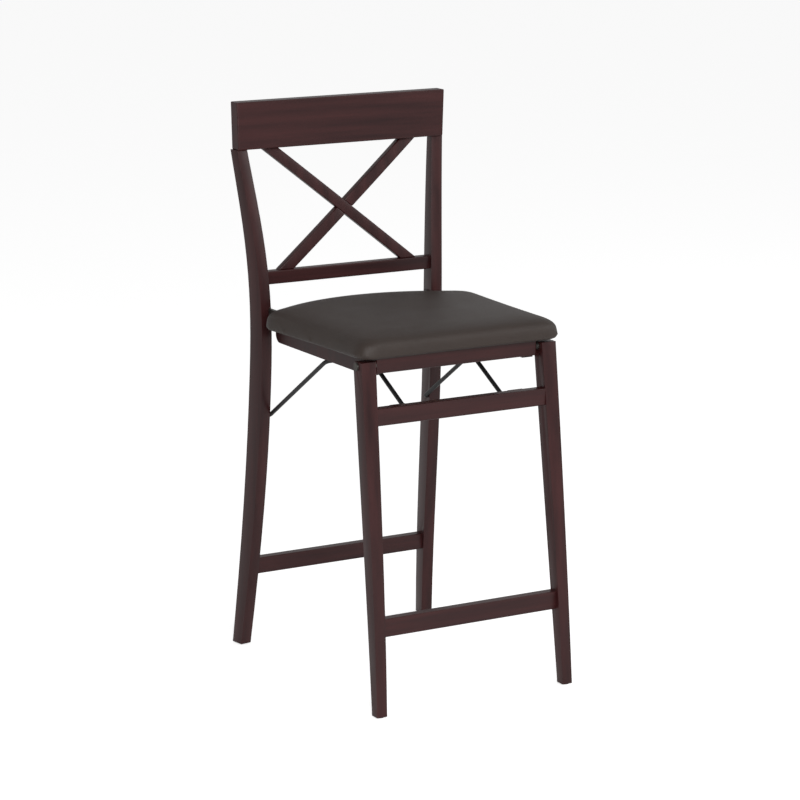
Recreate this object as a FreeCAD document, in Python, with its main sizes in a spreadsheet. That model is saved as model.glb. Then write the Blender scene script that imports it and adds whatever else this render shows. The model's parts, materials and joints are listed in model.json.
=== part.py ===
"""A folding wooden counter stool with a padded seat and an X back.

Millimetres. X runs across the stool, -Y is its front and +Z is up. The origin
is on the floor, under the middle of the open stool. Pieces named right lie at
+X and are drawn first; pieces named left are their mirror image.
"""
import FreeCAD, Part
import math
import os
import re
import Sketcher

from FreeCAD import Placement, Rotation, Vector

SIZES = {
    # Reach of the whole frame
    "frame_half": 200.0,
    "front_reach": 245.85,
    "rear_reach": 217.8,
    "edge_rounding": 2.0,
    # Rear legs, from the foot up to the crest
    "rear_leg_width": 20.0,
    "rear_leg_toe": 7.2,
    "rear_level_1": 160.0,
    "rear_level_2": 320.0,
    "rear_level_3": 480.0,
    "rear_level_4": 620.0,
    "rear_level_5": 750.0,
    "rear_inset_0": 7.6,
    "rear_inset_1": 15.9,
    "rear_inset_2": 20.8,
    "rear_inset_3": 23.2,
    "rear_inset_4": 22.3,
    "rear_inset_5": 13.4,
    "rear_inset_6": 0.5,
    "rear_lean_1": 20.7,
    "rear_lean_2": 39.8,
    "rear_lean_3": 52.1,
    "rear_lean_4": 51.1,
    "rear_lean_5": 34.2,
    "rear_lean_6": 12.4,
    "rear_depth_0": 25.7,
    "rear_depth_1": 31.4,
    "rear_depth_2": 35.2,
    "rear_depth_3": 35.9,
    "rear_depth_4": 32.9,
    "rear_depth_5": 26.8,
    "rear_depth_6": 19.8,
    # Front legs, from the foot up to the seat
    "front_level_1": 200.0,
    "front_level_2": 400.0,
    "front_leg_top": 572.3,
    "front_inset_0": 12.8,
    "front_inset_1": 14.8,
    "front_inset_2": 15.7,
    "front_inset_3": 16.2,
    "front_lean_1": 17.3,
    "front_lean_2": 39.3,
    "front_lean_3": 60.4,
    "front_width_0": 18.3,
    "front_width_1": 20.7,
    "front_width_2": 23.7,
    "front_width_3": 27.0,
    "front_depth_0": 17.3,
    "front_depth_1": 24.0,
    "front_depth_2": 26.5,
    "front_depth_3": 25.6,
    # Foot glides
    "glide_height": 1.5,
    "glide_radius": 7.0,
    # Crest rail
    "crest_bottom": 864.8,
    "crest_height": 80.2,
    "crest_depth": 24.0,
    "crest_set_in": 15.8,
    "crest_flare": 1.1,
    "crest_draw_in": 1.2,
    # Lower back rail, stretchers and upper front rail
    "rail_depth": 18.0,
    "lower_back_rail_bottom": 638.0,
    "lower_back_rail_height": 22.4,
    "lower_back_rail_set_in": 39.8,
    "rear_stretcher_bottom": 126.8,
    "rear_stretcher_height": 28.2,
    "rear_stretcher_set_in": 9.5,
    "front_rail_bottom": 468.9,
    "front_rail_height": 28.4,
    "front_rail_set_in": 50.85,
    "front_stretcher_bottom": 127.7,
    "front_stretcher_height": 30.5,
    "front_stretcher_set_in": 19.85,
    # Crossed back slats
    "slat_thickness": 13.0,
    "slat_half_width": 14.9,
    "slat_top_reach": 134.5,
    "slat_bottom_reach": 119.5,
    "slat_set_back": 4.5,
    "slat_rake": 29.0,
    "slat_bow": 2.4,
    # Dowels
    "dowel_radius": 4.0,
    "dowel_in_rail": 24.0,
    "dowel_in_leg": 12.0,
    "post_dowel_depth": 22.0,
    "post_dowel_rise": 28.0,
    "post_dowel_set_in": 10.4,
    "post_dowel_set_back": 9.6,
    # Seat frame
    "seat_frame_top": 577.0,
    "leg_side_gap": 1.3,
    "side_rail_width": 20.0,
    "side_rail_height": 32.4,
    "side_rail_corner": 14.0,
    "apron_height": 26.5,
    "apron_set_in": 67.85,
    "apron_end_gap": 5.8,
    "seat_rear_rail_height": 27.0,
    "seat_rear_rail_back": 102.0,
    # Seat board and cushion
    "board_thickness": 8.0,
    "board_inset": 10.0,
    "cushion_gap": 0.3,
    "cushion_overhang": 3.5,
    "cushion_front_set_in": 10.0,
    "cushion_front": 200.0,
    "cushion_back": 176.0,
    "cushion_middle": -12.0,
    "cushion_front_corner": 24.0,
    "cushion_rear_corner_start": 88.0,
    "cushion_rear_corner_end": 124.0,
    "cushion_rear_corner_cut": 27.5,
    "cushion_rear_corner_bulge": 9.0,
    "cushion_side_pull": 2.0,
    "cushion_front_pull": 1.5,
    "cushion_tuck": 4.0,
    "cushion_wide_height": 8.0,
    "cushion_height": 38.0,
    "cushion_crown_inset": 105.0,
    # Seat hinge
    "hinge_set_in": 69.8,
    "hinge_rise": 15.0,
    "hinge_plate_gap": 0.5,
    "hinge_plate_thickness": 6.0,
    "hinge_plate_radius": 7.0,
    "hinge_plate_reach": 44.0,
    "hinge_pin_radius": 3.0,
    "hinge_head_radius": 5.0,
    "hinge_head_height": 2.5,
    "ear_thickness": 8.0,
    "ear_radius": 6.5,
    "running_gap": 0.05,
    # Front leg bolts
    "bolt_set_in": 73.85,
    "bolt_drop": 12.0,
    "bolt_radius": 3.0,
    "bolt_head_radius": 6.5,
    "bolt_head_height": 2.5,
    "bolt_head_gap": 0.25,
    "front_leg_top_round": 11.4,
    "bolt_in_apron": 25.0,
    "washer_radius": 6.0,
    "washer_gap": 0.4,
    # Steel brace rods
    "rod_radius": 3.6,
    "rod_bend": 8.0,
    "rod_foot_bend": 4.6,
    "rod_foot_reach": 16.7,
    "rear_brace_set_in": 37.3,
    "rear_brace_height": 412.5,
    "rear_brace_leg_gap": 3.5,
    "rear_brace_draw_in": 3.0,
    "rear_brace_top_forward": 10.0,
    "rod_seat_gap": 0.6,
    "front_brace_half": 93.0,
    "front_brace_rise": 18.1,
    "front_brace_set_back": 9.0,
    "front_brace_top_forward": 36.4,
    "front_brace_stub": 10.0,
    # Glide strips under the seat for the front brace
    "strip_inner_half": 64.0,
    "strip_width": 12.0,
    "strip_front": 50.0,
    "strip_length": 112.0,
    "strip_height": 14.7,
    # Brackets and screws of the front brace
    "bracket_thickness": 2.0,
    "bracket_clearance": 1.0,
    "bracket_length": 28.0,
    "bracket_half_height": 10.0,
    "bracket_ear_radius": 6.0,
    "screw_radius": 2.0,
    "screw_depth": 12.0,
    "screw_head_radius": 3.6,
    "screw_head_height": 1.5,
    "screw_first": 10.0,
    "screw_spacing": 11.0,
    "screw_drop": 3.0,
}

ALONG_X = Rotation(Vector(0, 1, 0), 90)
ALONG_Y = Rotation(Vector(1, 0, 0), -90)
UPRIGHT_WEDGE = Rotation(Vector(1, 0, 0), 90)

# The crown of the cushion is a rounded box: steps from its side to its top, and the power of its curve
CROWN_STEPS = 6
CROWN_POWER = 0.5

doc = FreeCAD.newDocument("folding_stool")
sheet = doc.addObject("Spreadsheet::Sheet", "Sizes")
for row, (name, number) in enumerate(SIZES.items(), start=1):
    sheet.set(f"A{row}", name)
    sheet.set(f"B{row}", str(number))
    sheet.setAlias(f"B{row}", name)
doc.recompute()

subparts = []


def sized(text):
    """Point each size name in an expression at its cell."""
    def cell(word):
        return f"Sizes.{word.group()}" if word.group() in SIZES else word.group()
    return re.sub(r"[a-z]\w+", cell, str(text))


def value(name):
    """Read one size from the sheet."""
    return float(sheet.get(name))


def bind(piece, **expressions):
    """Tie properties of a piece to expressions on the sizes."""
    for field, text in expressions.items():
        piece.setExpression(field, sized(text))


def place(piece, across, along, up, rotation=Rotation()):
    """Put a piece at a point given by expressions."""
    piece.Placement = Placement(Vector(), rotation)
    for axis, text in zip("xyz", (across, along, up)):
        piece.setExpression(f"Placement.Base.{axis}", sized(text))


def cylinder(name, radius, height, across, along, up, rotation=Rotation()):
    piece = doc.addObject("Part::Cylinder", name)
    bind(piece, Radius=radius, Height=height)
    place(piece, across, along, up, rotation)
    return piece


def block(name, length, depth, height, across, along, up):
    piece = doc.addObject("Part::Box", name)
    bind(piece, Length=length, Width=depth, Height=height)
    place(piece, across, along, up)
    return piece


def cut(name, base, *tools):
    """Take each tool out of the base in turn."""
    for count, tool in enumerate(tools, start=1):
        step = doc.addObject("Part::Cut", f"{name}_less_{count}")
        step.Base = base
        step.Tool = tool
        base = step
    return base


def fuse(name, *members):
    piece = doc.addObject("Part::MultiFuse", name)
    piece.Shapes = list(members)
    return piece


def common(name, first, second):
    piece = doc.addObject("Part::Common", name)
    piece.Base = first
    piece.Tool = second
    return piece


def mirrored(name, source):
    piece = doc.addObject("Part::Mirroring", name)
    piece.Source = source
    piece.Normal = Vector(1, 0, 0)
    return piece


def group(name, *members):
    """Several equal solids that share one name."""
    piece = doc.addObject("Part::Compound", name)
    piece.Links = list(members)
    return piece


def keep(label, piece):
    """Name a finished sub-part."""
    piece.Label = label
    subparts.append(piece)
    return piece


def keep_pair(label, piece):
    """Name a right-hand sub-part and add its left-hand twin."""
    keep(f"right_{label}", piece)
    return keep(f"left_{label}", mirrored(f"{label}_twin", piece))


def plane(body, role):
    for feature in body.Origin.OriginFeatures:
        if feature.Role == role:
            return feature


def ease_edges(body, base, edges):
    """Round edges of a body's last feature."""
    rounding = body.newObject("PartDesign::Fillet", f"{body.Name}_edges")
    rounding.Base = (base, edges)
    bind(rounding, Radius="edge_rounding")
    doc.recompute()
    return rounding


def bar(name, length, depth, height, across, along, up):
    """A wooden bar with eased edges."""
    body = doc.addObject("PartDesign::Body", name)
    stock = body.newObject("PartDesign::AdditiveBox", f"{name}_stock")
    bind(stock, Length=length, Width=depth, Height=height)
    place(stock, across, along, up)
    doc.recompute()
    ease_edges(body, stock, [f"Edge{count}" for count in range(1, 13)])
    return body


def leg_section(body, name, width, depth, across, along, up, toe):
    """A rectangle that lies inward and rearward of the leg's outer front corner."""
    sketch = body.newObject("Sketcher::SketchObject", name)
    sketch.AttachmentSupport = [(plane(body, "XY_Plane"), "")]
    sketch.MapMode = "FlatFace"
    sketch.AttachmentOffset = Placement(Vector(), Rotation(Vector(0, 0, 1), -value(toe) if toe else 0))
    for axis, text in zip("xyz", (across, along, up)):
        sketch.setExpression(f"AttachmentOffset.Base.{axis}", sized(text))
    corners = [Vector(0, 0), Vector(-20, 0), Vector(-20, 20), Vector(0, 20)]
    for start, end in zip(corners, corners[1:] + corners[:1]):
        sketch.addGeometry(Part.LineSegment(start, end))
    for line in range(4):
        sketch.addConstraint(Sketcher.Constraint("Coincident", line, 2, (line + 1) % 4, 1))
    for line, direction in enumerate(["Horizontal", "Vertical"] * 2):
        sketch.addConstraint(Sketcher.Constraint(direction, line))
    sketch.addConstraint(Sketcher.Constraint("Coincident", 0, 1, -1, 1))
    for label, kind, line in (("Width", "DistanceX", 2), ("Depth", "DistanceY", 1)):
        index = sketch.addConstraint(Sketcher.Constraint(kind, line, 1, line, 2, 20.0))
        sketch.renameConstraint(index, label)
    sketch.setExpression("Constraints.Width", sized(width))
    sketch.setExpression("Constraints.Depth", sized(depth))
    return sketch


def leg(name, stations, toe=None):
    """A leg lofted smoothly through its sections."""
    body = doc.addObject("PartDesign::Body", name)
    sections = [leg_section(body, f"{name}_section_{count}", *station, toe)
                for count, station in enumerate(stations)]
    doc.recompute()
    loft = body.newObject("PartDesign::AdditiveLoft", f"{name}_loft")
    loft.Profile = sections[0]
    loft.Sections = sections[1:]
    return body


# The stool's joint axes, as expressions
HINGE_ALONG = "(rear_reach - hinge_set_in)"
HINGE_UP = "(seat_frame_top + hinge_rise)"
BOLT_ALONG = "(bolt_set_in - front_reach)"
BOLT_UP = "(seat_frame_top - bolt_drop)"
REAR_BRACE_ALONG = "(rear_reach - rear_brace_set_in)"
FRONT_BRACE_ALONG = "(front_rail_set_in - front_reach + rail_depth + front_brace_set_back)"
REAR_BRACE_FOOT = "(frame_half - rear_inset_3 - rear_leg_width - rear_brace_leg_gap)"
FRONT_BRACE_UP = "(front_rail_bottom + front_brace_rise)"
FRONT_LEG_INNER = "(frame_half - front_inset_3 - front_width_3)"
SIDE_RAIL_OUTER = f"({FRONT_LEG_INNER} - leg_side_gap)"

# Blank legs, before their holes and mortises
rear_levels = ["glide_height"] + [f"rear_level_{count}" for count in range(1, 6)] + ["crest_bottom"]
rear_leans = ["0"] + [f"rear_lean_{count}" for count in range(1, 7)]
rear_leg_blank = leg("rear_leg_blank", [
    ("rear_leg_width", f"rear_depth_{count}", f"frame_half - rear_inset_{count}",
     f"rear_reach - {rear_leans[count]}", level)
    for count, level in enumerate(rear_levels)], "rear_leg_toe")

front_levels = ["glide_height", "front_level_1", "front_level_2", "front_leg_top"]
front_leans = ["0"] + [f"front_lean_{count}" for count in range(1, 4)]
front_leg_blank = leg("front_leg_blank", [
    (f"front_width_{count}", f"front_depth_{count}", f"frame_half - front_inset_{count}",
     f"{front_leans[count]} - front_reach", level)
    for count, level in enumerate(front_levels)])

rear_leg_blank_left = mirrored("rear_leg_blank_left", rear_leg_blank)
front_leg_blank_left = mirrored("front_leg_blank_left", front_leg_blank)


def side_dowel(name, inset, width, along, up):
    """A dowel across the joint between a rail's end and its right-hand leg."""
    inner = f"(frame_half - {inset} - {width})"
    return cylinder(name, "dowel_radius", "dowel_in_rail + dowel_in_leg",
                    f"{inner} - dowel_in_rail", along, up, ALONG_X)


def rail(label, along, bottom, height, blanks, dowel):
    """A rail between two legs: its ends follow their faces, and dowels hold it."""
    stock = bar(f"{label}_stock", "2 * frame_half - 50", "rail_depth", height,
                "25 - frame_half", along, bottom)
    twin = mirrored(f"{label}_dowel_left", dowel)
    keep(label, cut(label, stock, *blanks, dowel, twin))
    return [dowel, twin]


rear_blanks = (rear_leg_blank, rear_leg_blank_left)
front_blanks = (front_leg_blank, front_leg_blank_left)

# Lower back rail
lower_rail_along = "rear_reach - lower_back_rail_set_in"
lower_rail_dowels = rail(
    "lower_back_rail", lower_rail_along, "lower_back_rail_bottom", "lower_back_rail_height", rear_blanks,
    side_dowel("lower_back_dowel", "rear_inset_4", "rear_leg_width", f"{lower_rail_along} + rail_depth / 2",
               "lower_back_rail_bottom + lower_back_rail_height / 2"))

# Rear stretcher
rear_stretcher_along = "rear_reach - rear_stretcher_set_in"
rear_stretcher_dowels = rail(
    "rear_stretcher", rear_stretcher_along, "rear_stretcher_bottom", "rear_stretcher_height", rear_blanks,
    side_dowel("rear_stretcher_dowel", "rear_inset_1", "rear_leg_width",
               f"{rear_stretcher_along} + rail_depth / 2", "rear_stretcher_bottom + rear_stretcher_height / 2"))

# Upper front rail
front_rail_along = "front_rail_set_in - front_reach"
front_rail_dowels = rail(
    "upper_front_rail", front_rail_along, "front_rail_bottom", "front_rail_height", front_blanks,
    side_dowel("front_rail_dowel", "front_inset_3", "front_width_3", f"{front_rail_along} + rail_depth / 2",
               "front_rail_bottom + front_rail_height / 2"))

# Front stretcher
front_stretcher_along = "front_stretcher_set_in - front_reach"
front_stretcher_dowels = rail(
    "front_stretcher", front_stretcher_along, "front_stretcher_bottom", "front_stretcher_height", front_blanks,
    side_dowel("front_stretcher_dowel", "front_inset_1", "front_width_1",
               f"{front_stretcher_along} + rail_depth / 2",
               "front_stretcher_bottom + front_stretcher_height / 2"))

# Crest rail on the two posts
crest_body = doc.addObject("PartDesign::Body", "crest_body")
crest_stock = crest_body.newObject("PartDesign::AdditiveWedge", "crest_stock")
bind(crest_stock, Xmin="crest_draw_in - frame_half", Xmax="frame_half - crest_draw_in",
     X2min="-crest_flare - frame_half", X2max="frame_half + crest_flare",
     Ymin="0", Ymax="crest_height", Zmin="0", Zmax="crest_depth", Z2min="0", Z2max="crest_depth")
place(crest_stock, "0", "rear_reach - crest_set_in + crest_depth", "crest_bottom", UPRIGHT_WEDGE)
doc.recompute()
ease_edges(crest_body, crest_stock, [f"Edge{count}" for count in range(1, 13)])

post_dowel = cylinder("post_dowel", "dowel_radius", "post_dowel_depth + post_dowel_rise",
                      "frame_half - post_dowel_set_in",
                      "rear_reach - rear_lean_6 + post_dowel_set_back", "crest_bottom - post_dowel_depth")
post_dowel_left = mirrored("post_dowel_left", post_dowel)
keep("crest_rail", cut("crest_rail", crest_body, post_dowel, post_dowel_left))


def slat_panel(name, set_back, thickness):
    """The bowed sheet that both back slats are cut from."""
    body = doc.addObject("PartDesign::Body", name)
    sketch = body.newObject("Sketcher::SketchObject", f"{name}_profile")
    sketch.AttachmentSupport = [(plane(body, "YZ_Plane"), "")]
    sketch.MapMode = "FlatFace"
    low = value("lower_back_rail_bottom") + value("lower_back_rail_height")
    high = value("crest_bottom")
    start = value("rear_reach") - value("lower_back_rail_set_in") + value("slat_set_back")
    depth = value("slat_thickness")
    rake = value("slat_rake")
    bow = value("slat_bow")
    front = (Vector(start, low), Vector(start + rake / 2 - bow, (low + high) / 2), Vector(start + rake, high))
    rear = [point + Vector(depth, 0) for point in front]
    sketch.addGeometry(Part.Arc(front[2], front[1], front[0]))
    sketch.addGeometry(Part.LineSegment(front[2], rear[2]))
    sketch.addGeometry(Part.Arc(rear[2], rear[1], rear[0]))
    sketch.addGeometry(Part.LineSegment(rear[0], front[0]))
    front_end, front_start, rear_end, rear_start = (0, 2), (0, 1), (2, 2), (2, 1)
    for line, first, second in ((1, front_start, rear_start), (3, rear_end, front_end)):
        sketch.addConstraint(Sketcher.Constraint("Coincident", line, 1, *first))
        sketch.addConstraint(Sketcher.Constraint("Coincident", line, 2, *second))
    front_low = f"rear_reach - lower_back_rail_set_in + slat_set_back + {set_back}"
    rows = (("front_low", front_end, front_low, "low"),
            ("front_high", front_start, f"{front_low} + slat_rake", "high"),
            ("rear_low", rear_end, f"{front_low} + {thickness}", "low"),
            ("rear_high", rear_start, f"{front_low} + {thickness} + slat_rake", "high"))
    heights = {"low": "lower_back_rail_bottom + lower_back_rail_height", "high": "crest_bottom"}
    for label, (line, end), along, level in rows:
        for kind, text in (("DistanceX", along), ("DistanceY", heights[level])):
            here = sketch.getPoint(line, end)
            drawn = here.x if kind == "DistanceX" else here.y
            index = sketch.addConstraint(Sketcher.Constraint(kind, -1, 1, line, end, drawn))
            sketch.renameConstraint(index, f"{label}_{kind}")
            sketch.setExpression(f"Constraints.{label}_{kind}", sized(text))
    rise = "(crest_bottom - lower_back_rail_bottom - lower_back_rail_height)"
    radius = f"(slat_rake ^ 2 + {rise} ^ 2) / (8 * slat_bow) + slat_bow / 2"
    for label, line in (("front_radius", 0), ("rear_radius", 2)):
        index = sketch.addConstraint(Sketcher.Constraint("Radius", line, sketch.Geometry[line].Radius))
        sketch.renameConstraint(index, label)
        sketch.setExpression(f"Constraints.{label}", sized(radius))
    pad = body.newObject("PartDesign::Pad", f"{name}_pad")
    pad.Profile = sketch
    pad.Midplane = True
    bind(pad, Length="2 * frame_half")
    return body


# Crossed back slats, halved into each other where they meet
slat_bar = doc.addObject("Part::Wedge", "slat_bar")
bind(slat_bar, Xmin="slat_bottom_reach - slat_half_width", Xmax="slat_bottom_reach + slat_half_width",
     X2min="-slat_top_reach - slat_half_width", X2max="slat_half_width - slat_top_reach",
     Ymin="0", Ymax="crest_bottom - lower_back_rail_bottom - lower_back_rail_height",
     Zmin="0", Zmax="rear_reach", Z2min="0", Z2max="rear_reach")
place(slat_bar, "0", "1.3 * rear_reach", "lower_back_rail_bottom + lower_back_rail_height", UPRIGHT_WEDGE)
slat_bar_other = mirrored("slat_bar_other", slat_bar)
whole_panel = slat_panel("whole_panel", "0", "slat_thickness")
rear_panel = slat_panel("rear_panel", "slat_thickness / 2", "slat_thickness / 2")
front_slat_lap = common("front_slat_lap", rear_panel, slat_bar_other)
front_slat = cut("front_slat", common("front_slat_whole", whole_panel, slat_bar), front_slat_lap)
keep("front_x_slat", front_slat)
keep("rear_x_slat", cut("rear_slat", common("rear_slat_whole", whole_panel, slat_bar_other), front_slat))

# Hinge plates let into the rear legs, and their pins
plate_inner = f"{SIDE_RAIL_OUTER} + hinge_plate_gap"
hinge_plate_solid = fuse(
    "hinge_plate_solid",
    block("hinge_plate_strap", "hinge_plate_thickness", "hinge_plate_reach", "2 * hinge_plate_radius",
          plate_inner, HINGE_ALONG, f"{HINGE_UP} - hinge_plate_radius"),
    cylinder("hinge_plate_end", "hinge_plate_radius", "hinge_plate_thickness",
             plate_inner, HINGE_ALONG, HINGE_UP, ALONG_X))
hinge_pin_start = f"{SIDE_RAIL_OUTER} - ear_thickness"
hinge_shank = cylinder("hinge_shank", "hinge_pin_radius", "ear_thickness + hinge_plate_gap + hinge_plate_thickness",
                       hinge_pin_start, HINGE_ALONG, HINGE_UP, ALONG_X)
hinge_head = cylinder("hinge_head", "hinge_head_radius", "hinge_head_height",
                      f"{hinge_pin_start} - hinge_head_height", HINGE_ALONG, HINGE_UP, ALONG_X)
keep_pair("hinge_plate", cut("hinge_plate", hinge_plate_solid, hinge_shank))
keep_pair("hinge_pin", fuse("hinge_pin_solid", hinge_shank, hinge_head))

# Rear legs with their mortises and holes
rear_brace_hole = cylinder("rear_brace_hole", "rod_radius + running_gap", "rod_foot_reach + running_gap",
                           REAR_BRACE_FOOT, REAR_BRACE_ALONG, "rear_brace_height", ALONG_X)
keep_pair("rear_leg", cut("rear_leg", rear_leg_blank, hinge_plate_solid, rear_brace_hole,
                          lower_rail_dowels[0], rear_stretcher_dowels[0], post_dowel))
keep("rear_frame_dowels", group("rear_frame_dowels", *lower_rail_dowels, *rear_stretcher_dowels,
                                post_dowel, post_dowel_left))

# Front leg bolts, washers and the front legs
bolt_outer = "(frame_half - front_inset_3 + bolt_head_gap)"
bolt_shank = cylinder("bolt_shank", "bolt_radius",
                      "front_width_3 + bolt_head_gap + apron_end_gap + bolt_in_apron",
                      f"{FRONT_LEG_INNER} - apron_end_gap - bolt_in_apron", BOLT_ALONG, BOLT_UP, ALONG_X)
bolt_head = cylinder("bolt_head", "bolt_head_radius", "bolt_head_height", bolt_outer, BOLT_ALONG, BOLT_UP, ALONG_X)
bolt_hole = cylinder("bolt_hole", "bolt_radius + running_gap", "2 * front_width_3",
                     f"{FRONT_LEG_INNER} - front_width_3 / 2", BOLT_ALONG, BOLT_UP, ALONG_X)
washer_disc = cylinder("washer_disc", "washer_radius", "apron_end_gap - washer_gap",
                       f"{FRONT_LEG_INNER} - apron_end_gap", BOLT_ALONG, BOLT_UP, ALONG_X)
leg_washer = cut("leg_washer", washer_disc, bolt_shank)
keep_pair("leg_bolt", fuse("leg_bolt_solid", bolt_shank, bolt_head))
keep("leg_bolt_washers", group("leg_bolt_washers", leg_washer, mirrored("leg_washer_left", leg_washer)))
front_leg_top_waste = cut(
    "front_leg_top_waste",
    block("front_leg_top_block", "3 * front_width_3", "2 * front_leg_top_round", "2 * front_leg_top_round",
          f"{FRONT_LEG_INNER} - front_width_3", BOLT_ALONG, BOLT_UP),
    cylinder("front_leg_top_arc", "front_leg_top_round", "3 * front_width_3",
             f"{FRONT_LEG_INNER} - front_width_3", BOLT_ALONG, BOLT_UP, ALONG_X))
keep_pair("front_leg", cut("front_leg", front_leg_blank, front_leg_top_waste, bolt_hole,
                           front_rail_dowels[0], front_stretcher_dowels[0]))
keep("front_frame_dowels", group("front_frame_dowels", *front_rail_dowels, *front_stretcher_dowels))

# Foot glides
front_glide = cylinder("front_glide", "glide_radius", "glide_height",
                       "frame_half - front_inset_0 - front_width_0 / 2", "front_depth_0 / 2 - front_reach", "0")
rear_glide = cylinder("rear_glide", "glide_radius", "glide_height",
                      "frame_half - rear_inset_0 - rear_leg_width / 2 * cos(rear_leg_toe * 1 deg)"
                      " + rear_depth_0 / 2 * sin(rear_leg_toe * 1 deg)",
                      "rear_reach + rear_leg_width / 2 * sin(rear_leg_toe * 1 deg)"
                      " + rear_depth_0 / 2 * cos(rear_leg_toe * 1 deg)", "0")
keep("front_foot_glides", group("front_foot_glides", front_glide, mirrored("front_glide_left", front_glide)))
keep("rear_foot_glides", group("rear_foot_glides", rear_glide, mirrored("rear_glide_left", rear_glide)))

# Seat side rails, each with an ear that rises to the hinge
apron_front = "(apron_set_in - front_reach)"
apron_back = f"({apron_front} + rail_depth)"
ear_back = f"({HINGE_ALONG} + ear_radius)"
side_rail_bar = block("side_rail_bar", "side_rail_width", f"{ear_back} - {apron_back}", "side_rail_height",
                      f"{SIDE_RAIL_OUTER} - side_rail_width", apron_back, "seat_frame_top - side_rail_height")
corner_waste = cut(
    "corner_waste",
    block("corner_block", "side_rail_width", "side_rail_corner", "side_rail_corner",
          f"{SIDE_RAIL_OUTER} - side_rail_width", f"{ear_back} - side_rail_corner",
          "seat_frame_top - side_rail_height"),
    cylinder("corner_round", "side_rail_corner", "side_rail_width", f"{SIDE_RAIL_OUTER} - side_rail_width",
             f"{ear_back} - side_rail_corner", "seat_frame_top - side_rail_height + side_rail_corner", ALONG_X))
ear_solid = fuse(
    "ear_solid",
    block("ear_post", "ear_thickness", "2 * ear_radius", "hinge_rise + ear_radius",
          hinge_pin_start, f"{HINGE_ALONG} - ear_radius", "seat_frame_top - ear_radius"),
    cylinder("ear_end", "ear_radius", "ear_thickness", hinge_pin_start, HINGE_ALONG, HINGE_UP, ALONG_X))
ear_hole = cylinder("ear_hole", "hinge_pin_radius + running_gap", "ear_thickness",
                    hinge_pin_start, HINGE_ALONG, HINGE_UP, ALONG_X)
keep_pair("side_rail", cut("side_rail", fuse("side_rail_solid", cut("side_rail_shaped", side_rail_bar, corner_waste),
                                             ear_solid), ear_hole))

# Seat apron and rear rail
apron_half = f"({FRONT_LEG_INNER} - apron_end_gap)"
apron_bar = bar("apron_bar", f"2 * {apron_half}", "rail_depth", "apron_height",
                f"-{apron_half}", apron_front, "seat_frame_top - apron_height")
keep("seat_apron", cut("seat_apron", apron_bar, bolt_shank, mirrored("bolt_shank_left", bolt_shank)))
rear_rail_half = f"({SIDE_RAIL_OUTER} - side_rail_width)"
keep("seat_rear_rail", block("seat_rear_rail", f"2 * {rear_rail_half}", "rail_depth", "seat_rear_rail_height",
                             f"-{rear_rail_half}", "seat_rear_rail_back - rail_depth",
                             "seat_frame_top - seat_rear_rail_height"))

# Glide strips that the front brace slides on
keep_pair("glide_strip", block("glide_strip", "strip_width", "strip_length", "strip_height",
                               "strip_inner_half", "-strip_front", "seat_frame_top - strip_height"))


def cushion_outline(inset, up):
    """The seat's outline seen from above, drawn in evenly by an inset."""
    half = value("frame_half") + value("cushion_overhang")
    front_half = value("frame_half") - value("cushion_front_set_in")
    front = -value("cushion_front")
    back = value("cushion_back")
    middle = value("cushion_middle")
    corner = value("cushion_front_corner")
    diagonal = corner * math.sqrt(0.5)
    start = value("cushion_rear_corner_start")
    end = value("cushion_rear_corner_end")
    side_cut = value("cushion_rear_corner_cut")
    bulge = value("cushion_rear_corner_bulge")
    chord = math.hypot(side_cut, end - start)
    bulge_across = bulge * (end - start) / chord
    bulge_along = bulge * side_cut / chord
    right = [
        (front_half - corner, front),
        (front_half - corner + diagonal, front + corner - diagonal),
        (front_half, front + corner),
        ((front_half + half) / 2 - value("cushion_side_pull"), (front + corner + start) / 2),
        (half, start),
        (half - side_cut / 2 + bulge_across, (start + end) / 2 + bulge_along),
        (half - side_cut, end),
    ]
    left = [(-across, along) for across, along in reversed(right)]
    points = right + [(0, back)] + left + [(0, front + value("cushion_front_pull"))]
    shrink_across = 1 - inset / half
    shrink_along = 1 - inset / ((back - front) / 2)
    corners = [Vector(across * shrink_across, middle + (along - middle) * shrink_along, up)
               for across, along in points]
    corners.append(corners[0])
    arcs = [Part.Arc(corners[count], corners[count + 1], corners[count + 2]).toShape()
            for count in range(0, len(corners) - 1, 2)]
    return Part.Wire(arcs)


def outline_slab(inset, bottom, thickness):
    """A flat slab with the seat's outline."""
    return Part.Face(cushion_outline(inset, bottom)).extrude(Vector(0, 0, thickness))


# Seat board
frame_top = value("seat_frame_top")
board = doc.addObject("Part::Feature", "seat_board")
board.Shape = outline_slab(value("board_inset"), frame_top, value("board_thickness"))
keep("seat_board", board)

# Seat cushion: a crowned pad whose cover wraps down round the board
cushion_bottom = frame_top + value("cushion_gap")
pad_rise = value("cushion_height") - value("cushion_wide_height")
pad_sections = [(value("cushion_tuck"), cushion_bottom)]
for step in range(CROWN_STEPS + 1):
    turn = math.pi / 2 * step / CROWN_STEPS
    inset = value("cushion_crown_inset") * (1 - max(math.cos(turn), 0) ** CROWN_POWER)
    pad_sections.append((inset, frame_top + value("cushion_wide_height") + pad_rise * math.sin(turn) ** CROWN_POWER))
pad_solid = Part.makeLoft([cushion_outline(inset, up) for inset, up in pad_sections], True, True)
pocket = outline_slab(value("board_inset") - value("cushion_gap"), cushion_bottom, value("board_thickness"))
cushion = doc.addObject("Part::Feature", "seat_cushion")
cushion.Shape = pad_solid.cut(pocket)
keep("seat_cushion", cushion)


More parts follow.
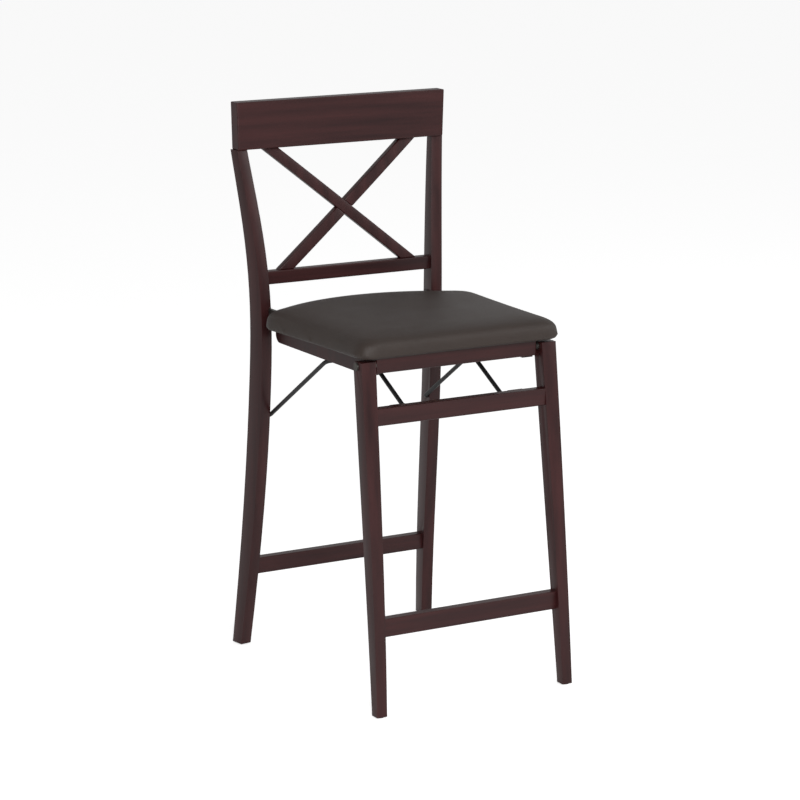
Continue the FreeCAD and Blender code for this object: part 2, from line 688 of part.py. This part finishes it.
def bent_rod(points, bends):
    """A round rod along straight runs joined by tangent arcs at the inner points."""
    edges = []
    last = points[0]
    for before, corner, after, bend in zip(points, points[1:], points[2:], bends):
        back = (before - corner).normalize()
        ahead = (after - corner).normalize()
        half_turn = (math.pi - back.getAngle(ahead)) / 2
        start = corner + back * (bend * math.tan(half_turn))
        end = corner + ahead * (bend * math.tan(half_turn))
        inward = (back + ahead).normalize()
        middle = corner + inward * (bend / math.cos(half_turn) - bend)
        edges.append(Part.LineSegment(last, start).toShape())
        edges.append(Part.Arc(start, middle, end).toShape())
        last = end
    edges.append(Part.LineSegment(last, points[-1]).toShape())
    radius = value("rod_radius")
    circle = Part.Wire(Part.makeCircle(radius, points[0], points[1] - points[0]))
    rod = Part.Wire(edges).makePipeShell([circle], True, False)
    length = sum(edge.Length for edge in edges)
    print(f"rod: length {length:.1f}, volume share {rod.Volume / (math.pi * radius ** 2 * length):.4f}")
    return rod


def brace(name, foot_half, foot_reach, foot_along, foot_up, top_half, top_along, top_up):
    """A U-shaped rod: a stub, an arm, the cross bar, an arm and a stub."""
    right = [Vector(foot_half + foot_reach, foot_along, foot_up), Vector(foot_half, foot_along, foot_up),
             Vector(top_half, top_along, top_up)]
    left = [Vector(-point.x, point.y, point.z) for point in reversed(right)]
    foot_bend = value("rod_foot_bend")
    top_bend = value("rod_bend")
    rod = doc.addObject("Part::Feature", name)
    rod.Shape = bent_rod(right + left, [foot_bend, top_bend, top_bend, foot_bend])
    return keep(name, rod)


# Rear brace rod, from the rear legs to the underside of the side rails
side_rail_bottom = frame_top - value("side_rail_height")
rear_foot_half = (value("frame_half") - value("rear_inset_3") - value("rear_leg_width")
                  - value("rear_brace_leg_gap"))
brace("rear_brace_rod", rear_foot_half, value("rod_foot_reach"),
      value("rear_reach") - value("rear_brace_set_in"), value("rear_brace_height"),
      rear_foot_half - value("rear_brace_draw_in"), -value("rear_brace_top_forward"),
      side_rail_bottom - value("rod_seat_gap") - value("rod_radius"))

# Front brace rod, from the upper front rail to the glide strips
front_brace_along = (value("front_rail_set_in") - value("front_reach") + value("rail_depth")
                     + value("front_brace_set_back"))
brace("front_brace_rod", value("front_brace_half"), value("front_brace_stub"),
      front_brace_along, value("front_rail_bottom") + value("front_brace_rise"),
      value("front_brace_half"), -value("front_brace_top_forward"),
      frame_top - value("strip_height") - value("rod_seat_gap") - value("rod_radius"))

# Steel brackets that carry the front brace, and their screws
rail_back = "(front_rail_set_in - front_reach + rail_depth)"
ear_start = "(front_brace_half + rod_radius + bracket_clearance)"
bracket_foot = block("bracket_foot", "bracket_length", "bracket_thickness", "2 * bracket_half_height",
                     ear_start, rail_back, f"{FRONT_BRACE_UP} - bracket_half_height")
bracket_ear = block("bracket_ear", "bracket_thickness", "front_brace_set_back", "2 * bracket_ear_radius",
                    ear_start, rail_back, f"{FRONT_BRACE_UP} - bracket_ear_radius")
bracket_round = cylinder("bracket_round", "bracket_ear_radius", "bracket_thickness",
                         ear_start, FRONT_BRACE_ALONG, FRONT_BRACE_UP, ALONG_X)
bracket_hole = cylinder("bracket_hole", "rod_radius + running_gap", "3 * bracket_thickness",
                        f"{ear_start} - bracket_thickness", FRONT_BRACE_ALONG, FRONT_BRACE_UP, ALONG_X)


def bracket_screw(count):
    """A screw through a bracket into the upper front rail."""
    across = f"{ear_start} + screw_first + {count} * screw_spacing"
    shank = cylinder(f"screw_shank_{count}", "screw_radius", "screw_depth + bracket_thickness",
                     across, f"{rail_back} - screw_depth", f"{FRONT_BRACE_UP} - screw_drop", ALONG_Y)
    head = cylinder(f"screw_head_{count}", "screw_head_radius", "screw_head_height",
                    across, f"{rail_back} + bracket_thickness", f"{FRONT_BRACE_UP} - screw_drop", ALONG_Y)
    return fuse(f"screw_{count}", shank, head)


screws = [bracket_screw(count) for count in range(2)]
bracket = cut("bracket", fuse("bracket_solid", bracket_foot, bracket_ear, bracket_round), bracket_hole, *screws)
left_screws = [mirrored(f"{screw.Name}_left", screw) for screw in screws]
keep("brace_brackets", group("brace_brackets", bracket, mirrored("bracket_left", bracket)))
keep("bracket_screws", group("bracket_screws", *screws, *left_screws))
front_rail = next(piece for piece in subparts if piece.Label == "upper_front_rail")
subparts.remove(front_rail)
front_rail.Label = "upper_front_rail_plain"
keep("upper_front_rail", cut("front_rail_drilled", front_rail, *screws, *left_screws))

doc.recompute()

for piece in doc.Objects:
    if "Invalid" in piece.State or "Error" in piece.State:
        raise RuntimeError(f"{piece.Label} did not build: {piece.State}")
for piece in subparts:
    if piece.Shape.isNull() or not piece.Shape.isValid() or not piece.Shape.Solids:
        raise RuntimeError(f"{piece.Label} has no valid solid")

os.makedirs("parts", exist_ok=True)
for piece in subparts:
    piece.Shape.exportStep(f"parts/{piece.Label}.step")

box = FreeCAD.BoundBox()
for piece in subparts:
    box.add(piece.Shape.optimalBoundingBox(True, False))
print(f"{len(subparts)} sub-parts")
print(f"across {box.XMin:.2f} to {box.XMax:.2f}, along {box.YMin:.2f} to {box.YMax:.2f}, "
      f"up {box.ZMin:.2f} to {box.ZMax:.2f}")
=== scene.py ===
# %% [markdown]
# A folding counter stool in dark stained wood. The construction comes packed, at its real size and place.
# This script adds the looks: eased wood, a vinyl cushion, black steel, a white studio and the camera.

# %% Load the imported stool
import math

import bmesh
import bpy
from mathutils import Matrix, Vector
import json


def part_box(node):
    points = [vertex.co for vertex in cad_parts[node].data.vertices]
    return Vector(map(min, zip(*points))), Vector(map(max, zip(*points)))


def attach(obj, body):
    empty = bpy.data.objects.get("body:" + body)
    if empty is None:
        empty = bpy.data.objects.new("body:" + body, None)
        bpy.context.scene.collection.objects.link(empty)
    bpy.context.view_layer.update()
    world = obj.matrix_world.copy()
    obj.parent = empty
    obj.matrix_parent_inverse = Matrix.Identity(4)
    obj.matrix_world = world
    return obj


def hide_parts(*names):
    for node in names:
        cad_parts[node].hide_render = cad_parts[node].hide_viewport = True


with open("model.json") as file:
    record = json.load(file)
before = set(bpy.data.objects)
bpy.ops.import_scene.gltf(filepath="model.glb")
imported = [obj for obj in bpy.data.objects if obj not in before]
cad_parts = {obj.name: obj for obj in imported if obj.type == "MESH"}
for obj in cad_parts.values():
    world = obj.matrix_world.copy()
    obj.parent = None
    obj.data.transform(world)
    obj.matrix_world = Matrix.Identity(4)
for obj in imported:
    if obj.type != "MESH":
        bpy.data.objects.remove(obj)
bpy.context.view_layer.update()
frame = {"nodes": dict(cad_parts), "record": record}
scene = bpy.context.scene

# %% [markdown]
# The picture was taken from the front left of the stool at about eye height, with a long lens. Yaw turns
# from +Y towards +X, a negative pitch looks down and roll is the small tilt of the frame.

# %% Camera
CAMERA_PLACE = Vector((-2.5181, -4.2831, 1.5728))
CAMERA_YAW = math.radians(30.419)
CAMERA_PITCH = math.radians(-12.657)
CAMERA_ROLL = math.radians(0.254)
CAMERA_LENS = 137.08
CAMERA_SENSOR = 36

ahead = Vector((math.sin(CAMERA_YAW) * math.cos(CAMERA_PITCH), math.cos(CAMERA_YAW) * math.cos(CAMERA_PITCH),
                math.sin(CAMERA_PITCH)))
level_right = Vector((math.cos(CAMERA_YAW), -math.sin(CAMERA_YAW), 0))
level_up = level_right.cross(ahead)
right = level_right * math.cos(CAMERA_ROLL) + level_up * math.sin(CAMERA_ROLL)
up = level_up * math.cos(CAMERA_ROLL) - level_right * math.sin(CAMERA_ROLL)
camera = bpy.data.objects.new("camera", bpy.data.cameras.new("camera"))
scene.collection.objects.link(camera)
camera.matrix_world = Matrix.Translation(CAMERA_PLACE) @ Matrix((right, up, -ahead)).transposed().to_4x4()
camera.data.sensor_width = CAMERA_SENSOR
camera.data.lens = CAMERA_LENS
scene.camera = camera
scene.view_settings.view_transform = "Standard"
print("camera at", tuple(CAMERA_PLACE), "lens", CAMERA_LENS)

# %% [markdown]
# Shader maths reads best as plain expressions. Value wraps a socket, so that adding, subtracting or
# multiplying adds the Math node, and Finish keeps a material with one method for each other common node.
# A Mix node has sockets for every kind of data, so the ones for colours and for numbers are named by index.

# %% Helpers for materials
MIX_SHARE = 0
NUMBER_FIRST = 2
NUMBER_SECOND = 3
COLOUR_FIRST = 6
COLOUR_SECOND = 7
COLOUR_RESULT = 2


class Value:
    """A socket that can stand in a plain expression."""
    def __init__(self, finish, socket):
        self.finish = finish
        self.socket = socket

    def maths(self, operation, other):
        return self.finish.node("ShaderNodeMath", {"operation": operation}, {0: self, 1: other}, 0)

    def __add__(self, other):
        return self.maths("ADD", other)

    def __sub__(self, other):
        return self.maths("SUBTRACT", other)

    def __mul__(self, other):
        return self.maths("MULTIPLY", other)


class Finish:
    """A material whose nodes are added one by one."""
    def __init__(self, name, **settings):
        self.material = bpy.data.materials.new(name)
        self.material.use_nodes = True
        self.tree = self.material.node_tree
        self.shader = self.tree.nodes["Principled BSDF"]
        for socket, number in settings.items():
            self.shader.inputs[socket.replace("_", " ")].default_value = number

    def fill(self, node, inputs):
        for key, content in inputs.items():
            if isinstance(content, Value):
                self.tree.links.new(content.socket, node.inputs[key])
            else:
                node.inputs[key].default_value = content

    def node(self, kind, settings, inputs, output):
        node = self.tree.nodes.new(kind)
        for key, content in settings.items():
            setattr(node, key, content)
        self.fill(node, inputs)
        return Value(self, node.outputs[output])

    def place(self, scale=(1, 1, 1), turn=(0, 0, 0)):
        """Object coordinates, turned and stretched."""
        here = self.node("ShaderNodeTexCoord", {}, {}, "Object")
        return self.node("ShaderNodeMapping", {}, {"Vector": here, "Scale": scale, "Rotation": turn}, 0)

    def noise(self, where, scale, detail):
        return self.node("ShaderNodeTexNoise", {}, {"Vector": where, "Scale": scale, "Detail": detail}, 0)

    def blend(self, share, dark, light):
        inputs = {MIX_SHARE: share, COLOUR_FIRST: (*dark, 1), COLOUR_SECOND: (*light, 1)}
        return self.node("ShaderNodeMix", {"data_type": "RGBA"}, inputs, COLOUR_RESULT)

    def bump(self, height, strength, distance):
        inputs = {"Height": height, "Strength": strength, "Distance": distance}
        return self.node("ShaderNodeBump", {}, inputs, 0)


# %% [markdown]
# The wood is an open grained hardwood under a dark red brown stain. Its grain runs along the legs, the
# rails between them and the slats, so the same finish is made once for upright pieces, once for pieces that
# lie across and once for each slat of the X. The seat's side rails, little of which shows, take the upright
# one. Long stretched noise gives the streaks, a finer one the pores, and the streaks vary the gloss.

# %% Stained wood
STAIN_DARK = (0.012, 0.0028, 0.0032)
STAIN_LIGHT = (0.048, 0.0105, 0.0105)
UPRIGHT_GRAIN = (55, 55, 4)
CROSSWISE_GRAIN = (4, 55, 75)
PORES_PER_STREAK = 5.0
SLAT_ANGLE = math.radians(51.2)


def stained_wood(name, scale, turn=(0, 0, 0)):
    finish = Finish(name, Specular_IOR_Level=0.35)
    where = finish.place(scale, turn)
    streaks = finish.noise(where, 1.0, 6.0)
    pores = finish.noise(where, PORES_PER_STREAK, 3.0)
    share = streaks * 1.5 - 0.32 + pores * 0.18
    finish.fill(finish.shader, {
        "Base Color": finish.blend(share, STAIN_DARK, STAIN_LIGHT),
        "Roughness": streaks * 0.12 + 0.30,
        "Normal": finish.bump(pores * 0.5 + streaks * 0.5, 0.10, 0.0004),
    })
    return finish.material


upright_wood = stained_wood("stained_wood_upright", UPRIGHT_GRAIN)
crosswise_wood = stained_wood("stained_wood_crosswise", CROSSWISE_GRAIN)
front_slat_wood = stained_wood("stained_wood_front_slat", UPRIGHT_GRAIN, (0, SLAT_ANGLE, 0))
rear_slat_wood = stained_wood("stained_wood_rear_slat", UPRIGHT_GRAIN, (0, -SLAT_ANGLE, 0))

# %% [markdown]
# The seat cover is a dark brown vinyl, stamped with a fine leather grain. Cells a millimetre or two across
# make the grain, and a slow noise gives soft puckers and varies the cover's colour and gloss.

# %% Vinyl
VINYL_DARK = (0.017, 0.0105, 0.0080)
VINYL_LIGHT = (0.036, 0.0235, 0.0180)
GRAIN_SCALE = 620.0
PUCKER_SCALE = 14.0
SPECKLE_SCALE = 900.0

vinyl = Finish("brown_vinyl", Specular_IOR_Level=0.4)
where = vinyl.place()
cells = vinyl.node("ShaderNodeTexVoronoi", {"feature": "DISTANCE_TO_EDGE"},
                   {"Vector": where, "Scale": GRAIN_SCALE}, 0)
puckers = vinyl.noise(where, PUCKER_SCALE, 3.0)
speckle = vinyl.noise(where, SPECKLE_SCALE, 2.0)
vinyl.fill(vinyl.shader, {
    "Base Color": vinyl.blend(puckers * 0.7 + speckle * 0.3, VINYL_DARK, VINYL_LIGHT),
    "Roughness": puckers * 0.12 + speckle * 0.08 + 0.36,
    "Normal": vinyl.bump(cells * 1.4 + puckers * 0.9, 0.35, 0.0012),
})

# %% [markdown]
# The brace rods are steel with a thin black coat, and the hinges, bolts and screws are dark plated steel.
# Both get a fine mottle, as no real coat is perfectly even, and so do the moulded glides under the feet.


# %% Steel and glides
def mottled(name, dark, light, metal, roughness, roughness_range, scale):
    finish = Finish(name, Metallic=metal)
    spots = finish.noise(finish.place(), scale, 5.0)
    finish.fill(finish.shader, {
        "Base Color": finish.blend(spots, dark, light),
        "Roughness": spots * roughness_range + roughness,
        "Normal": finish.bump(spots, 0.08, 0.0003),
    })
    return finish.material


black_steel = mottled("black_coated_steel", (0.010, 0.010, 0.011), (0.026, 0.025, 0.026),
                      metal=0.3, roughness=0.28, roughness_range=0.25, scale=260.0)
hardware = mottled("dark_plated_steel", (0.055, 0.050, 0.046), (0.13, 0.12, 0.11),
                   metal=0.85, roughness=0.30, roughness_range=0.25, scale=300.0)
glide = mottled("moulded_glide", (0.018, 0.018, 0.018), (0.034, 0.034, 0.034),
                metal=0.0, roughness=0.5, roughness_range=0.2, scale=500.0)

# %% [markdown]
# Under the seat some wood is left without stain, and the seat board is plywood coloured near black as
# painted shade for the shadow under the cushion's overhang. Both have long streaks that run across the
# stool and little gloss.


# %% Bare wood and plywood
def plain_wood(name, dark, light, scale):
    finish = Finish(name, Roughness=0.6)
    streaks = finish.noise(finish.place(scale), 1.0, 5.0)
    finish.fill(finish.shader, {
        "Base Color": finish.blend(streaks, dark, light),
        "Normal": finish.bump(streaks, 0.15, 0.0004),
    })
    return finish.material


bare_wood = plain_wood("bare_hardwood", (0.20, 0.115, 0.062), (0.42, 0.27, 0.16), (6, 70, 70))
# The seat board's near black colour is painted shade: it stands for the cushion's shadow on the board.
plywood = plain_wood("seat_plywood", (0.016, 0.012, 0.011), (0.034, 0.026, 0.023), (6, 60, 60))

# %% [markdown]
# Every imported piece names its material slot. Each slot has one finish here, apart from the stained wood,
# where the direction of the grain decides.

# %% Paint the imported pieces
FINISHES = {"espresso_wood": upright_wood, "bare_hardwood": bare_wood, "seat_plywood": plywood,
            "seat_vinyl": vinyl.material, "black_steel": black_steel, "dark_hardware": hardware,
            "foot_glide": glide}
CROSSWISE = ("crest_rail", "lower_back_rail", "rear_stretcher", "upper_front_rail", "front_stretcher",
             "seat_apron")
BY_NODE = {"front_x_slat": front_slat_wood, "rear_x_slat": rear_slat_wood}
BY_NODE.update({node: crosswise_wood for node in CROSSWISE})
slot_of = {part["node"]: part["material_slot"] for part in frame["record"]["subparts"]}


def paint(piece, material):
    piece.data.materials.clear()
    piece.data.materials.append(material)


for node, piece in frame["nodes"].items():
    paint(piece, BY_NODE.get(node, FINISHES[slot_of[node]]))
print("finished", len(frame["nodes"]), "packed pieces")

# %% [markdown]
# A planed and sanded leg never ends in a knife edge: its corners are eased by a millimetre or two, and that
# soft edge is what catches the light. Each leg and slat is copied, its doubled corners are merged and its
# sharp edges get a small bevel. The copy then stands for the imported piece.

# %% Eased wood
EASING = 0.0016
EASING_STEPS = 3
SHARP = math.radians(40)
FLAT = math.radians(0.2)
SAME_PLACE = 1e-6


def merged_copy(node):
    """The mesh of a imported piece, with its doubled corners merged."""
    mesh = bmesh.new()
    mesh.from_mesh(frame["nodes"][node].data)
    bmesh.ops.remove_doubles(mesh, verts=mesh.verts, dist=SAME_PLACE)
    return mesh


def new_piece(name, mesh):
    """An object made of a mesh that isn't needed any more."""
    shape = bpy.data.meshes.new(name)
    mesh.to_mesh(shape)
    mesh.free()
    piece = bpy.data.objects.new(name, shape)
    scene.collection.objects.link(piece)
    return piece


def eased(node, body):
    """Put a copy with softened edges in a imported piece's place."""
    mesh = merged_copy(node)
    bmesh.ops.dissolve_limit(mesh, angle_limit=FLAT, verts=mesh.verts, edges=mesh.edges)
    sharp = [edge for edge in mesh.edges if len(edge.link_faces) == 2 and edge.calc_face_angle() > SHARP]
    bmesh.ops.bevel(mesh, geom=sharp, offset=EASING, offset_type="OFFSET", segments=EASING_STEPS,
                    profile=0.5, affect="EDGES", clamp_overlap=True, material=-1)
    piece = new_piece(f"{node}_eased", mesh)
    piece.data.shade_smooth()
    piece.data.set_sharp_from_angle(angle=SHARP)
    paint(piece, BY_NODE.get(node, upright_wood))
    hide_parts(node)
    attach(piece, body)
    print(node, "eased along", len(sharp), "edges")


for side in ("left", "right"):
    eased(f"{side}_rear_leg", "back_frame")
    eased(f"{side}_front_leg", "front_frame")
for node in ("front_x_slat", "rear_x_slat"):
    eased(node, "back_frame")

# %% [markdown]
# The cushion is foam under a tight vinyl cover that wraps down round the seat board. It is crowned, its
# sides pull in a little between the corners and its edge rolls over softly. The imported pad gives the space:
# a voxel remesh evens its faces, smoothing rounds them as foam would, and a subdivision makes the roll
# clean. The two rows of voxels at the bottom aren't smoothed, so the cushion stays flat on its frame.

# %% Cushion
VOXEL = 0.005
SMOOTH_PASSES = 8
SMOOTH_FACTOR = 0.5
SUBDIVISIONS = 1


def even_out(piece):
    """Give a piece even faces of one voxel's size."""
    even = piece.modifiers.new("even", "REMESH")
    even.mode = "VOXEL"
    even.voxel_size = VOXEL
    ready = piece.evaluated_get(bpy.context.evaluated_depsgraph_get())
    piece.data = bpy.data.meshes.new_from_object(ready)
    piece.modifiers.clear()


def smooth_above(piece, height):
    """Round a piece's faces above a height."""
    mesh = bmesh.new()
    mesh.from_mesh(piece.data)
    soft = [vertex for vertex in mesh.verts if vertex.co.z > height]
    for _ in range(SMOOTH_PASSES):
        bmesh.ops.smooth_vert(mesh, verts=soft, factor=SMOOTH_FACTOR,
                              use_axis_x=True, use_axis_y=True, use_axis_z=True)
    mesh.to_mesh(piece.data)
    mesh.free()


def cushion():
    piece = new_piece("vinyl_cushion", merged_copy("seat_cushion"))
    even_out(piece)
    smooth_above(piece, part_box("seat_cushion")[0].z + 2 * VOXEL)
    finer = piece.modifiers.new("finer", "SUBSURF")
    finer.levels = SUBDIVISIONS
    finer.render_levels = SUBDIVISIONS
    piece.data.shade_smooth()
    paint(piece, vinyl.material)
    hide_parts("seat_cushion")
    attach(piece, "seat")
    print("cushion faces", len(piece.data.polygons))


cushion()

# %% [markdown]
# The studio is a white floor that runs out of the picture, one large soft lamp from the upper left front, a
# weaker one from the right and an even white sky. The camera sees the sky brighter than it shines on the
# stool, and the floor adds a little white of its own for the camera only, so the background stays white and
# the shadow stays soft.

# %% Studio
STOOL_MIDDLE = Vector((0, 0, 0.5))
SKY_LIGHT = 0.5
SKY_SEEN = 1.0
FLOOR_SIZE = 40
FLOOR_GREY = 0.88
FLOOR_GLOW = 0.5


def lamp(name, place, size, watts):
    """A square soft lamp that points at the stool."""
    light = bpy.data.objects.new(name, bpy.data.lights.new(name, "AREA"))
    light.data.shape = "SQUARE"
    light.data.size = size
    light.data.energy = watts
    light.location = place
    light.rotation_euler = (STOOL_MIDDLE - Vector(place)).to_track_quat("-Z", "Y").to_euler()
    scene.collection.objects.link(light)


lamp("soft_key", (-1.4, -3.4, 1.9), size=1.6, watts=95)
lamp("soft_fill", (2.6, -1.4, 2.0), size=2.0, watts=28)

world = bpy.data.worlds.new("studio_sky")
world.use_nodes = True
scene.world = world
sky = world.node_tree
rays = sky.nodes.new("ShaderNodeLightPath")
strength = sky.nodes.new("ShaderNodeMix")
strength.inputs[NUMBER_FIRST].default_value = SKY_LIGHT
strength.inputs[NUMBER_SECOND].default_value = SKY_SEEN
sky.links.new(rays.outputs["Is Camera Ray"], strength.inputs[MIX_SHARE])
sky.links.new(strength.outputs[0], sky.nodes["Background"].inputs["Strength"])
sky.nodes["Background"].inputs["Color"].default_value = (1, 1, 1, 1)

bpy.ops.mesh.primitive_plane_add(size=FLOOR_SIZE)
floor = bpy.context.object
floor.name = "studio_floor"
white = Finish("studio_white", Roughness=0.9, Specular_IOR_Level=0.0)
camera_ray = white.node("ShaderNodeLightPath", {}, {}, "Is Camera Ray")
white.fill(white.shader, {
    "Base Color": (FLOOR_GREY, FLOOR_GREY, FLOOR_GREY, 1),
    "Emission Color": (1, 1, 1, 1),
    "Emission Strength": camera_ray * FLOOR_GLOW,
})
paint(floor, white.material)
print("studio floor", FLOOR_SIZE, "m")

# %% [markdown]
# The last cell imports json and does nothing more.

# %% Import json
import json
